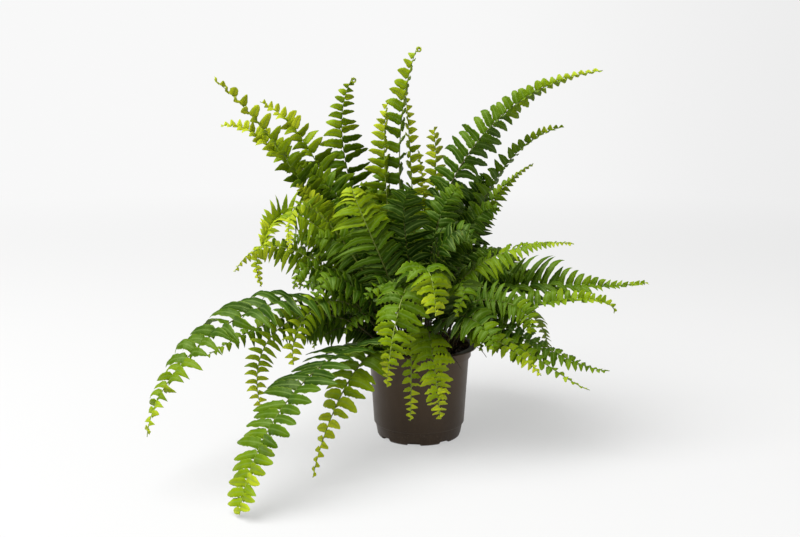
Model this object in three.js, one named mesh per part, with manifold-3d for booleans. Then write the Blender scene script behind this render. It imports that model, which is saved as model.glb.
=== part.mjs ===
// Potted sword fern: a round grower's pot filled with peat, and fronds that rise from its crown
// and arch over the rim. Millimetres, +Z up. The origin is the centre of the pot's base, on the
// surface that it stands on; the plant's fullest side looks along -Y.

import * as THREE from 'three';
import { mergeVertices } from 'three/addons/utils/BufferGeometryUtils.js';
import Module from 'manifold-3d';

const wasm = await Module();
wasm.setup();

// Pot
const POT_HEIGHT = 97;
const FLANGE_RADIUS = 60;
const FLANGE_THICKNESS = 1.6;
const COLLAR_RADIUS = 53.8;
const COLLAR_HEIGHT = 12;
const WALL_TOP_RADIUS = 51.7;
const WALL_FOOT_RADIUS = 47.2;
const PLINTH_RADIUS = 45.7;
const PLINTH_HEIGHT = 15;
const BASE_RADIUS = 43.8;
const BASE_FLAT_RADIUS = 40.5;
const BASE_ROUND = 3.6;
const BASE_THICKNESS = 2.5;
const WALL = 1.5;
const STEP = 0.8;
const DRAFT = 0.3;
const POT_SIDES = 36;

// Drainage notches round the edge of the base
const NOTCH_COUNT = 8;
const NOTCH_WIDTH = 15;
const NOTCH_TOP_WIDTH = 11;
const NOTCH_HEIGHT = 4;
const NOTCH_REACH = 7;
const FIRST_NOTCH_ANGLE = 262;

// Peat, and the plain holes that the stalks stand in
const SOIL_HEIGHT = 88;
const FIT_GAP = 0.3;
const ROOT_DEPTH = 9;
const HOLE_GAP = 0.55;

// Fronds: the stalk and rib narrow from root to tip, and leaflets stand in two alternate rows
const RIB_WIDTH = [2.4, 1.1];
const RIB_THICKNESS = [1.9, 0.9];
const STALK_STOPS = [0, 0.33, 0.67, 1];
const BLADE_THICKNESS = 0.6;
const LEAFLET_PITCH = 12.5;
const FEWEST_PAIRS = 6;
const TIP_WIDTH_SHARE = 0.1;
const FIRST_WIDTH_SHARE = 0.55;
const WIDEST_FROM = 0.2;
const WIDEST_TO = 0.45;
const FORWARD_LEAN = [6, 22];
const LEAFLET_CURL = 0.12;
const LEAFLET_UNEVENNESS = 0.16;
const BARE_TIP = 0.4;

// Leaflets that would cross something are shortened, to a stub at most, until they are clear of it
const CLEARANCE = 0.3;
const STOP_SHORT = 1.5;
const STUB = 2.4;
const MOST_PASSES = 14;

// Each frond passes through four points, at its root, a third, two thirds and its whole length.
// The rest of a row is the length of its longest leaflets, the turn of the blade about its rib at
// the root and at the tip, how far the leaflets fold up from the blade (degrees), how thin the tip
// runs out (1 is straight), the share of the rib that is bare stalk, and its age from old to new.
const FRONDS = [
  ['top_1', [-16, 4], [-73, 14, 181], [-135, 16, 284], [-207, 10, 368], 24, -42, -42, 38, 0.7, 0.3, 0.5],
  ['top_2', [-20, 15], [-72, 28, 174], [-138, 36, 279], [-206, 36, 320], 22, -42, -45, 35, 0.8, 0.3, 0.8],
  ['top_3', [-12, 10], [-60, 30, 177], [-107, 46, 280], [-167, 52, 345], 29, -38, -44, 30, 0.9, 0.3, 0.6],
  ['top_4', [-8, 18], [-46, 38, 183], [-78, 56, 283], [-71, 58, 368], 31, -50, -50, 5, 0.9, 0.3, 0.35],
  ['top_5', [-3, 8], [-14, 20, 180], [-20.5, 30, 291], [-3, 36, 399], 28, 40, 34, -40, 0.62, 0.3, 0.45],
  ['top_6', [4, 16], [-3, 32, 167], [-8, 44, 269], [-15, 50, 359], 17, -70, -70, -25, 0.9, 0.35, 0.75],
  ['top_7', [-8, 0], [-24, 10, 173], [-35, 16, 266], [-33, 18, 346], 27, -15, -20, -35, 0.9, 0.3, 0.65],
  ['top_8', [8, 22], [10, 42, 157], [17, 56, 236], [16, 60, 317], 21, 16, 16, -34, 0.4, 0.35, 0.8],
  ['top_9', [3, 24], [4, 44, 145], [6, 50, 220], [-1, 52, 295], 12, -8, -8, 10, 1, 0.35, 0.7],
  ['top_10', [12, 6], [16, 18, 217], [76.5, 18, 324.5], [184, 10, 377], 27, 48, 110, -20, 1.5, 0.25, 0.15],
  ['top_11', [21, 13], [42, 30, 176], [84, 44, 269], [152, 50, 319], 19, 130, 130, -15, 0.8, 0.3, 0.35],
  ['top_12', [16, 20], [34, 50, 163], [76, 70, 234], [125, 80, 278], 20, 40, 45, -20, 1.6, 0.3, 0.45],
  ['top_13', [13, 15], [28, 34, 151], [47, 48, 208], [70, 54, 270], 36, 53, 53, 0, 0.8, 0.25, 0],
  ['heart_1', [-6, -14], [-26, -34, 159], [-48.5, -48, 218], [-67, -44, 263], 44, -89, -95, -20, 0.5, 0.2, 0.5],
  ['heart_2', [5, -20], [-4, -58, 157], [4, -98, 193], [13, -124, 154], 31, 0, 0, -10, 0.5, 0.25, 0.7],
  ['heart_3', [-5, -24], [-9, -62, 171], [-23, -104, 148], [-32, -112, 83], 31, 0, 0, -10, 1.1, 0.25, 0.7],
  ['heart_4', [5, -31], [7, -58, 127], [13, -86, 96], [19, -92, 45], 23, 0, 0, -5, 0.7, 0.2, 0.6],
  ['heart_5', [-3, -34], [-8, -60, 121], [-9, -80, 85], [-10, -82, 40], 12, 0, 0, -5, 0.6, 0.2, 0.7],
  ['heart_6', [-15, -8], [-38, -16, 158], [-75, -20, 203], [-116, -22, 205], 28, -60, -60, 0, 0.9, 0.2, 0.2],
  ['heart_7', [-13, -19], [-48, -44, 146], [-81, -66, 179], [-99, -78, 158], 24, -40, -30, 0, 0.9, 0.2, 0.2],
  ['heart_8', [10, -10], [10, -22, 163], [27, -36, 213], [52, -46, 217], 28, 60, 50, 0, 0.9, 0.2, 0.05],
  ['heart_9', [0, -6], [-10, -18, 176], [-16, -28, 235], [-8, -34, 263], 30, -164, -164, 0, 0.9, 0.2, 0.15],
  ['heart_10', [-24, 7], [-59, 6, 154], [-93, 1, 219], [-124, -6, 264], 26, -60, -60, 20, 0.9, 0.25, 0.5],
  ['heart_11', [15, -23], [23, -62, 150], [39, -90, 176], [31, -108, 149], 24, 20, 10, -10, 0.9, 0.2, 0.3],
  ['left_1', [-22, -4], [-62, -8, 168], [-117, -14, 231], [-158, -18, 202], 30, -70, -70, 20, 0.5, 0.3, 0.75],
  ['left_2', [-18, -12], [-63, -28, 188], [-110, -48, 246], [-127, -62, 205], 12, -30, -30, 0, 0.5, 0.4, 1],
  ['left_3', [-25, 2], [-77, 3, 158], [-139, 2, 198], [-190, 0, 173], 29, -46, -46, -35, 1.45, 0.3, 0.75],
  ['left_4', [-31, 12], [-85, 17, 156], [-151, 22, 194], [-166, 22, 153], 12, -75, -85, 0, 0.6, 0.4, 0.75],
  ['left_5', [-25, -12], [-71, -22, 152], [-107, -36, 183], [-125, -42, 163], 15, -60, -40, 0, 0.6, 0.3, 0.6],
  ['left_6', [-35, -16], [-121, -64, 156], [-204, -135, 128], [-242, -185, 59], 42, 0, 0, 2, 1.1, 0.15, 0.3],
  ['left_7', [-36, -8], [-84, -30, 138], [-150, -52, 131], [-210, -60, 100], 30, -45, -35, -25, 1.2, 0.2, 0.45],
  ['left_8', [-31, -21], [-90, -56, 140], [-144, -78, 124], [-155, -82, 51], 18, -60, -70, 0, 0.4, 0.25, 0.6],
  ['left_9', [-27, -25], [-74, -58, 153], [-111, -88, 144], [-121, -98, 101], 16, -45, -60, 0, 0.4, 0.25, 0.6],
  ['left_10', [-21, -24], [-66, -91, 115], [-121.5, -170, 85], [-156, -228, 5], 40, 14, 14, 9, 0.4, 0.12, 0.2],
  ['left_11', [-16, -32], [-50, -79, 105], [-81, -124, 65], [-100, -150, 8], 27, -10, -4, -4, 1.6, 0.2, 0.45],
  ['right_1', [26, -8], [33, -20, 156], [84, -30, 198], [153, -32, 207], 25, 28, 28, -15, 1.5, 0.25, 0.55],
  ['right_2', [36, 0], [56, -4, 144], [140, -8, 158], [233, -12, 164], 46, 45, 45, 35, 2.3, 0.2, 0.3],
  ['right_3', [37, -10], [62, -32, 128], [146, -47, 152], [190, -58, 142], 17, 28, 28, 38, 1, 0.2, 0.4],
  ['right_4', [35, -18], [65, -44, 127], [126, -60, 106], [186, -66, 86], 24, 20, 20, -8, 1.3, 0.2, 0.45],
  ['right_5', [32, -24], [59, -58, 126], [116, -80, 100], [163, -88, 73], 19, 20, 20, 0, 2, 0.2, 0.5],
  ['right_6', [27, -30], [44, -66, 127], [85, -92, 115], [114, -102, 91], 18, 20, 20, -5, 1.1, 0.2, 0.6],
  ['right_7', [30, -16], [38, -50, 146], [84, -70, 155], [106, -78, 126], 21, 60, 45, 15, 0.7, 0.2, 0.5],
  ['right_8', [20, -30], [25, -66, 139], [52, -100, 143], [67, -116, 120], 26, 30, 30, 0, 0.9, 0.2, 0.35],
  ['right_9', [24, 10], [31, 18, 150], [54, 30, 186], [84, 34, 188], 17, 40, 40, 0, 0.9, 0.3, 0.1],
  ['right_10', [30, 8], [45, 14, 139], [85, 20, 165], [134, 26, 157], 25, 50, 50, 0, 0.9, 0.2, 0.1],
];

// The fronds of the far side fan out in three tiers, each given by how far it reaches and how high
// it passes at a third, two thirds and its whole length. Their roots stand in two rows.
const BACK_HEADINGS = [67, 45, 32, 108, 73, 58, 117, 124, 86, 98, 141, 133];
const BACK_ROOT_REACH = [36, 31];
const BACK_TIERS = [
  { reach: [48, 92, 118], height: [178, 232, 238], leaflet: 30, age: 0.2 },
  { reach: [62, 124, 172], height: [150, 176, 132], leaflet: 30, age: 0.35 },
  { reach: [70, 136, 176], height: [124, 118, 58], leaflet: 26, age: 0.5 },
];
const BACK_FOLD = 10;
const BACK_THINNING = 0.9;
const BACK_BARE = 0.2;

const POT_COLOUR = 0x4a4038;
const PEAT_COLOUR = 0x17110c;
const OLD_GREEN = new THREE.Color(0x23440f);
const NEW_GREEN = new THREE.Color(0xa3b41c);

const UP = new THREE.Vector3(0, 0, 1);
const radians = THREE.MathUtils.degToRad;
const lerp = THREE.MathUtils.lerp;

// A repeatable value from 0 to 1 for a frond and a leaflet
function scatter(a, b) {
  const wave = Math.sin(12.9898 * a + 78.233 * b + 1.7) * 43758.5453;
  return wave - Math.floor(wave);
}

function solidOf(positions, triangles) {
  return new wasm.Manifold(new wasm.Mesh({
    numProp: 3,
    vertProperties: Float32Array.from(positions),
    triVerts: Uint32Array.from(triangles),
  }));
}

// A solid from closed geometry, without the flat triangles that a lathe leaves on its axis
function solidFrom(geometry) {
  geometry.deleteAttribute('normal');
  geometry.deleteAttribute('uv');
  const merged = mergeVertices(geometry, 1e-4);
  const index = merged.index.array;
  const triangles = [];
  for (let i = 0; i < index.length; i += 3) {
    const [a, b, c] = [index[i], index[i + 1], index[i + 2]];
    if (a !== b && b !== c && c !== a) triangles.push(a, b, c);
  }
  return solidOf(merged.attributes.position.array, triangles);
}

function geometryFrom(solid) {
  const mesh = solid.getMesh();
  const geometry = new THREE.BufferGeometry();
  geometry.setAttribute('position', new THREE.BufferAttribute(mesh.vertProperties, 3));
  geometry.setIndex(new THREE.BufferAttribute(mesh.triVerts, 1));
  geometry.computeVertexNormals();
  return geometry;
}

// A solid turned about +Z from (radius, height) points
function turned(profile) {
  const points = profile.map(([radius, height]) => new THREE.Vector2(radius, height));
  const geometry = new THREE.LatheGeometry(points, POT_SIDES);
  geometry.rotateX(Math.PI / 2);
  return solidFrom(geometry);
}

// A trapezoid prism that cuts one notch, its long axis along the pot's radius
function notchCutter(angle) {
  const outline = new THREE.Shape([
    new THREE.Vector2(-NOTCH_WIDTH / 2, -1),
    new THREE.Vector2(NOTCH_WIDTH / 2, -1),
    new THREE.Vector2(NOTCH_TOP_WIDTH / 2, NOTCH_HEIGHT),
    new THREE.Vector2(-NOTCH_TOP_WIDTH / 2, NOTCH_HEIGHT),
  ]);
  const geometry = new THREE.ExtrudeGeometry(outline, { depth: 2 * NOTCH_REACH, bevelEnabled: false });
  geometry.rotateX(Math.PI / 2);
  geometry.translate(0, BASE_RADIUS + NOTCH_REACH, 0);
  geometry.rotateZ(radians(angle - 90));
  return solidFrom(geometry);
}

// The open shell, up its outside and down its inside, with its notches
function potSolid() {
  const collarFoot = POT_HEIGHT - COLLAR_HEIGHT;
  const flangeFoot = POT_HEIGHT - FLANGE_THICKNESS;
  let pot = turned([
    [0, 0],
    [BASE_FLAT_RADIUS, 0],
    [BASE_RADIUS - BASE_ROUND / 4, BASE_ROUND / 3],
    [BASE_RADIUS, BASE_ROUND],
    [PLINTH_RADIUS, PLINTH_HEIGHT - STEP],
    [WALL_FOOT_RADIUS, PLINTH_HEIGHT],
    [WALL_TOP_RADIUS, collarFoot],
    [COLLAR_RADIUS, collarFoot + STEP],
    [COLLAR_RADIUS + DRAFT, flangeFoot],
    [FLANGE_RADIUS, flangeFoot],
    [FLANGE_RADIUS, POT_HEIGHT],
    [COLLAR_RADIUS + DRAFT - WALL, POT_HEIGHT],
    [COLLAR_RADIUS - WALL, collarFoot + 2 * STEP],
    [WALL_TOP_RADIUS - WALL, collarFoot + DRAFT],
    [WALL_FOOT_RADIUS - WALL, PLINTH_HEIGHT + STEP],
    [PLINTH_RADIUS - WALL, PLINTH_HEIGHT - STEP / 2],
    [BASE_RADIUS - WALL, BASE_THICKNESS],
    [0, BASE_THICKNESS],
  ]);
  for (let i = 0; i < NOTCH_COUNT; i++) {
    pot = pot.subtract(notchCutter(FIRST_NOTCH_ANGLE + (360 / NOTCH_COUNT) * i));
  }
  return pot;
}

// A straight four-sided hole for a stalk, a little larger than it
function holeCutter(frond) {
  const frame = ribFrame(frond, 0);
  const geometry = new THREE.BoxGeometry(
    2 * (ROOT_DEPTH + FIT_GAP), RIB_WIDTH[0] + 2 * HOLE_GAP, RIB_THICKNESS[0] + 2 * HOLE_GAP);
  geometry.applyMatrix4(new THREE.Matrix4().makeBasis(frame.ahead, frame.across, frame.up));
  geometry.translate(...frame.place.toArray());
  return solidFrom(geometry);
}

// The peat fills the pot, short of its wall by the fit's gap
function soilSolid(fronds) {
  const gap = WALL + FIT_GAP;
  let soil = turned([
    [0, BASE_THICKNESS + FIT_GAP],
    [BASE_RADIUS - gap, BASE_THICKNESS + FIT_GAP],
    [PLINTH_RADIUS - gap, PLINTH_HEIGHT - STEP / 2],
    [WALL_FOOT_RADIUS - gap, PLINTH_HEIGHT + STEP + FIT_GAP],
    [WALL_TOP_RADIUS - gap, SOIL_HEIGHT],
    [0, SOIL_HEIGHT],
  ]);
  for (const frond of fronds) soil = soil.subtract(holeCutter(frond));
  return soil;
}

// A rib as the cubic curve that passes through a row's four points at even steps
function ribCurve(points) {
  const [root, third, twoThirds, tip] = points.map((point) => new THREE.Vector3(...point));
  const handle = (weights) => [root, third, twoThirds, tip].reduce(
    (sum, point, i) => sum.addScaledVector(point, weights[i] / 6), new THREE.Vector3());
  return new THREE.CubicBezierCurve3(root, handle([-5, 18, -9, 2]), handle([2, -9, 18, -5]), tip);
}

function frondFrom(row, number) {
  const [name, root, third, twoThirds, tip, leaflet, rootRoll, tipRoll, fold, thinning, bare, age] = row;
  const curve = ribCurve([[...root, SOIL_HEIGHT], third, twoThirds, tip]);
  const outward = new THREE.Vector3(tip[0] - root[0], tip[1] - root[1], 0).normalize();
  const side = new THREE.Vector3().crossVectors(UP, outward);
  const pairs = Math.max(FEWEST_PAIRS, Math.round(curve.getLength() * (1 - bare) / LEAFLET_PITCH));
  const limits = new Array(2 * pairs - 1).fill(Infinity);
  return {
    name: `frond_${name}`, number, curve, side, leaflet, rootRoll, tipRoll, fold, thinning, bare, age,
    pairs, limits,
  };
}

function backRow(degrees, i) {
  const tier = BACK_TIERS[i % BACK_TIERS.length];
  const heading = radians(degrees);
  const along = (reach) => [reach * Math.cos(heading), reach * Math.sin(heading)];
  const points = tier.reach.map((reach, k) => [...along(reach), tier.height[k]]);
  const root = along(BACK_ROOT_REACH[i % BACK_ROOT_REACH.length]);
  const blade = [tier.leaflet, 0, 0, BACK_FOLD, BACK_THINNING, BACK_BARE, tier.age];
  return [`back_${i + 1}`, root, ...points, ...blade];
}

// The place and the ahead, sideways and upward directions at t from 0 to 1 along a rib
function ribFrame(frond, t) {
  const place = frond.curve.getPoint(t);
  const ahead = frond.curve.getTangent(t);
  const across = frond.side.clone().addScaledVector(ahead, -frond.side.dot(ahead)).normalize();
  across.applyAxisAngle(ahead, radians(lerp(frond.rootRoll, frond.tipRoll, t)));
  const up = new THREE.Vector3().crossVectors(ahead, across);
  return { place, ahead, across, up };
}

// Share of the longest leaflet's length at s from 0 to 1 along the leafy part
function widthShare(s, thinning) {
  const rise = lerp(FIRST_WIDTH_SHARE, 1, THREE.MathUtils.smoothstep(s, 0, WIDEST_FROM));
  const toTip = Math.max(0, (s - WIDEST_TO) / (1 - WIDEST_TO));
  return rise * lerp(TIP_WIDTH_SHARE, 1, (1 - toTip) ** thinning);
}

// Leaflet k from its base on the rib to its tip. Even ones stand on the left, odd ones on the right.
function leafletLine(frond, k, swell = 0) {
  const s = (k + 1) / (2 * frond.pairs);
  const { place, ahead, across, up } = ribFrame(frond, lerp(frond.bare, 1, s));
  const lean = radians(lerp(...FORWARD_LEAN, s));
  const fold = radians(frond.fold);
  const uneven = 1 + LEAFLET_UNEVENNESS * (scatter(frond.number, k) - 0.5);
  const grown = frond.leaflet * widthShare(s, frond.thinning) * uneven;
  const length = Math.min(grown, frond.limits[k]) + swell;
  const hand = k % 2 === 0 ? 1 : -1;
  const tip = place.clone()
    .addScaledVector(across, hand * length * Math.cos(lean) * Math.cos(fold))
    .addScaledVector(up, length * (Math.cos(lean) * Math.sin(fold) - LEAFLET_CURL))
    .addScaledVector(ahead, length * Math.sin(lean));
  return { base: place, tip, up };
}

// One closed blade: a stalk and rib between two rails, cut to the rib between leaflets. Both faces
// are split into the same triangles. swell thickens it, for tests of clearance.
function frondSolid(frond, swell = 0) {
  const positions = [];
  const triangles = [];
  const pair = (point, up, thickness) => {
    for (const way of [1, -1]) {
      positions.push(...point.clone().addScaledVector(up, way * (thickness / 2 + swell)).toArray());
    }
    return positions.length / 3 - 2;
  };
  const face = (a, b, c) => triangles.push(a, b, c, a + 1, c + 1, b + 1);
  const wall = (a, b) => triangles.push(a, a + 1, b + 1, a, b + 1, b);
  const railPoint = (t, hand, back = 0) => {
    const { place, ahead, across, up } = ribFrame(frond, t);
    place.addScaledVector(across, hand * (lerp(...RIB_WIDTH, t) / 2 + swell)).addScaledVector(ahead, -back);
    return pair(place, up, lerp(...RIB_THICKNESS, t));
  };
  const steps = 2 * frond.pairs;
  const notch = (k) => lerp(frond.bare, 1, Math.min(k, steps - BARE_TIP) / steps);

  let left = railPoint(0, 1, ROOT_DEPTH);
  let right = railPoint(0, -1, ROOT_DEPTH);
  wall(left, right);
  const moveLeft = (next) => {
    face(right, next, left);
    left = next;
  };
  const moveRight = (next) => {
    face(right, next, left);
    right = next;
  };
  for (const stop of STALK_STOPS) {
    const nextRight = railPoint(stop * frond.bare, -1);
    const nextLeft = railPoint(stop * frond.bare, 1);
    wall(right, nextRight);
    wall(nextLeft, left);
    moveRight(nextRight);
    moveLeft(nextLeft);
  }
  const firstNotch = railPoint(notch(1), -1);
  wall(right, firstNotch);
  moveRight(firstNotch);
  for (let k = 0; k < frond.limits.length; k++) {
    const { tip, up } = leafletLine(frond, k, swell);
    const apex = pair(tip, up, BLADE_THICKNESS);
    if (k % 2 === 0) {
      const next = railPoint(notch(k + 2), 1);
      face(left, next, apex);
      wall(apex, left);
      wall(next, apex);
      moveLeft(next);
    } else {
      const next = railPoint(notch(k + 2), -1);
      face(right, apex, next);
      wall(right, apex);
      wall(apex, next);
      moveRight(next);
    }
  }
  const { place, up } = ribFrame(frond, 1);
  const end = pair(place, up, BLADE_THICKNESS);
  wall(right, end);
  wall(end, left);
  moveRight(end);
  return solidOf(positions, triangles);
}

// The leaflet of a frond that passes nearest to a point, and how far out along it that is
function leafletNear(frond, point) {
  let nearest = { gap: Infinity };
  for (let k = 0; k < frond.limits.length; k++) {
    const { base, tip } = leafletLine(frond, k);
    const line = new THREE.Line3(base, tip);
    const share = line.closestPointToPointParameter(point, true);
    const gap = line.at(share, new THREE.Vector3()).distanceTo(point);
    if (gap < nearest.gap) nearest = { frond, k, gap, share, reach: share * line.distance() };
  }
  return nearest;
}

// Shortens the leaflet that has least to lose at a crossing, and gives its frond
function shortenAt(point, fronds) {
  const open = fronds.map((frond) => leafletNear(frond, point)).filter((hit) => hit.reach > STUB);
  if (open.length === 0) {
    const names = fronds.map((frond) => frond.name).join(' and ');
    throw new Error(`the rib of ${names} is crossed at ${point.toArray().map(Math.round)}`);
  }
  const hit = open.sort((a, b) => b.share - a.share)[0];
  hit.frond.limits[hit.k] = Math.max(STUB, hit.reach - STOP_SHORT);
  return hit.frond;
}

// The middle of each place where two solids cross
function crossings(a, b) {
  const common = a.intersect(b);
  return common.isEmpty() ? [] : common.decompose().map((piece) => {
    const { min, max } = piece.boundingBox();
    return new THREE.Vector3(...min).add(new THREE.Vector3(...max)).divideScalar(2);
  });
}

// Leaflets that would cross another frond, the pot or the peat are shortened until all are clear
function clearLeaflets(fronds, vessels) {
  let changed = new Set(fronds);
  for (let pass = 0; pass < MOST_PASSES && changed.size > 0; pass++) {
    for (const frond of changed) frond.guard = frondSolid(frond, CLEARANCE);
    const shortened = new Set();
    fronds.forEach((a, i) => {
      for (const vessel of changed.has(a) ? vessels : []) {
        for (const point of crossings(a.guard, vessel)) shortened.add(shortenAt(point, [a]));
      }
      for (const b of fronds.slice(i + 1)) {
        if (!changed.has(a) && !changed.has(b)) continue;
        for (const point of crossings(a.guard, b.guard)) shortened.add(shortenAt(point, [a, b]));
      }
    });
    changed = shortened;
  }
}

function piece(name, solid, colour, roughness) {
  const material = new THREE.MeshStandardMaterial({ color: colour, roughness, metalness: 0 });
  const mesh = new THREE.Mesh(geometryFrom(solid), material);
  mesh.name = name;
  return mesh;
}

const fronds = [...FRONDS, ...BACK_HEADINGS.map(backRow)].map(frondFrom);
const pot = potSolid();
const soil = soilSolid(fronds);
clearLeaflets(fronds, [pot, soil]);

const fern = new THREE.Group();
fern.add(piece('pot', pot, POT_COLOUR, 0.45));
fern.add(piece('soil', soil, PEAT_COLOUR, 0.95));
for (const frond of fronds) {
  const green = OLD_GREEN.clone().lerp(NEW_GREEN, frond.age);
  fern.add(piece(frond.name, frondSolid(frond), green, 0.5));
}

export default fern;
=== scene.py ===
# Potted sword fern: fine leaflets, stalks, peat and pot, with their materials, on the fixed frame.
# Metres, +Z up. Sizes of the plant and the pot are in millimetres until a mesh is made of them.

import math

import bpy
import numpy as np
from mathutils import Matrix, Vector


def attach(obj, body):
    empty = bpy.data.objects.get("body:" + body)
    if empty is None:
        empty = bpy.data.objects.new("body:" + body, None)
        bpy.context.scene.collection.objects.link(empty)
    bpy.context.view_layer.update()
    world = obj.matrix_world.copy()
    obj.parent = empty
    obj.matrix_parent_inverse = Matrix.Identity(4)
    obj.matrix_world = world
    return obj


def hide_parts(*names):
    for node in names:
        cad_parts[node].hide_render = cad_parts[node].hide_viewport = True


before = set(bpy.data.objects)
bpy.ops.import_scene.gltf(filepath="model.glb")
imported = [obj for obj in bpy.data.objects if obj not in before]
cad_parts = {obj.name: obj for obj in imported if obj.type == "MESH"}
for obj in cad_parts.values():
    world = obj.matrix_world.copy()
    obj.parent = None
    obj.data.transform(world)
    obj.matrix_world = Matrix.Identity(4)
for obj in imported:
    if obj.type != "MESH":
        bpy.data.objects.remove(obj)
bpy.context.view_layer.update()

MM = 0.001

# Camera, level with the top third of the plant and dipped towards the pot
CAMERA_PLACE = (-0.02, -1.086, 0.368)
CAMERA_DIP = 10
FOCAL_LENGTH = 48.24
SENSOR_WIDTH = 36

# Studio in metres: the backdrop's grey from left to right (painted shade on the right), the floor's
# reflectance, own light and reach into the backdrop, the light from all round, and the key light
BACKDROP_GREYS = (0.94, 0.84)
BACKDROP_TURN = (0.02, 0.42)
FLOOR_SIZE = 80
FLOOR_ALBEDO = 0.28
FLOOR_GLOW = 0.48
FLOOR_FADE = (0.55, 2.6)
AMBIENT = 0.3
KEY_PLACE = (-1.9, -1.2, 3.6)
KEY_TARGET = (0, 0, 0.1)
KEY_SIZE = 4.6
KEY_POWER = 385

# Pot: its outline as (radius, height) with rounded edges, and the prisms that cut its notches
POT_PROFILE = [
    (0, 0), (40.2, 0), (41.6, 0.35), (42.9, 1.2), (43.55, 2.4), (43.8, 3.6),
    (45.55, 13.6), (45.75, 14.3), (46.2, 14.75), (47, 15), (47.25, 15.5),
    (51.6, 84.2), (51.9, 84.9), (52.6, 85.2), (53.4, 85.35), (53.8, 85.9),
    (54, 94.6), (54.35, 95.2), (55, 95.4), (59.2, 95.4), (59.75, 95.55), (60, 96),
    (60, 96.5), (59.75, 96.85), (59.2, 97), (53.6, 97), (53, 96.85), (52.6, 96.4),
    (52.3, 86.6), (51.9, 86.2), (50.5, 85.6), (50.2, 85.2), (45.75, 15.9), (45.4, 15.4),
    (44.3, 14.7), (44.1, 14.2), (42.4, 3.4), (41.6, 2.6), (0, 2.5),
]
POT_SIDES = 144
EDGE_BEVEL = 0.4
NOTCH_COUNT = 8
NOTCH_WIDTH = 15
NOTCH_TOP_WIDTH = 11
NOTCH_HEIGHT = 4
NOTCH_DEPTH = 7
FIRST_NOTCH_ANGLE = 262
BASE_RADIUS = 43.8
NOTCH_FACES = ((3, 2, 1, 0), (4, 5, 6, 7), (0, 1, 5, 4), (1, 2, 6, 5), (2, 3, 7, 6), (3, 0, 4, 7))

# Peat: a plug in the pot's mouth with a low mound, and the crumbs on it
SOIL_HEIGHT = 88
SOIL_RADIUS = 50
SOIL_FOOT_RADIUS = 45
SOIL_DEPTH = 14
SOIL_SIDES = 96
SOIL_RINGS = 26
MOUND_HEIGHT = 2.2
MOUND_REACH = 26
CRUMB_COUNT = 420
CRUMB_SIZES = (0.7, 2.3)
PEAT_SEED = 7

# Stalks, with the radius at root and tip, and the scales at their foot
RIB_RADIUS = (1.15, 0.38)
ROOT_DEPTH = 8
RIB_RING = 7
RIB_STEP = 5
RIB_SAMPLES = 401
SCALE_COUNT = 16
SCALE_LENGTHS = (2, 4.5)

# The rolled-up tip of a young frond, from its outer to its inner end
COIL_STATIONS = 34
COIL_RADIUS = (2.4, 0.7)
COIL_THICKNESS = (0.75, 0.5)
KNOB_LENGTH = 2

# Leaflets along the frond: how long the first and last are and where the longest and the closer ones
# are, as shares, and the bare tip
FIRST_WIDTH_SHARE = 0.55
WIDEST_FROM = 0.2
WIDEST_TO = 0.45
TIP_WIDTH_SHARE = 0.1
CLOSER_FROM = 0.4
TIP_GAP = 1.5

# One leaflet: the places of its rings along it and of their points across it, the underside last
BASE_STEPS = (0, 0.025, 0.07)
BLADE_SPAN = (0.13, 0.93)
TIP_STEPS = (0.975, 1)
LEAFLET_RING = np.array([-1, -0.5, 0, 0.5, 1])
UNDER_SIDES = (4, 5)
# The count of its rings, from one length up to another
LEAFLET_GRADES = ((0, 9, 7), (9, 20, 11), (20, 99, 16))
# Its thickness, how far it points below the blade, where it starts to narrow, how much broader its
# foot is on the side of the root and of the tip, and the ripple of its edge
THICKNESS = 0.45
LEAFLET_DIP = 0.12
TAPER_FROM = 0.12
LOBES = (-0.1, 0.4)
RIPPLE = 0.08
RIPPLE_LENGTH = 11
RIPPLE_SPREAD = 3

# A frond's materials, in the order of its slots
LEAF, STALK, SCALE = range(3)

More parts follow.
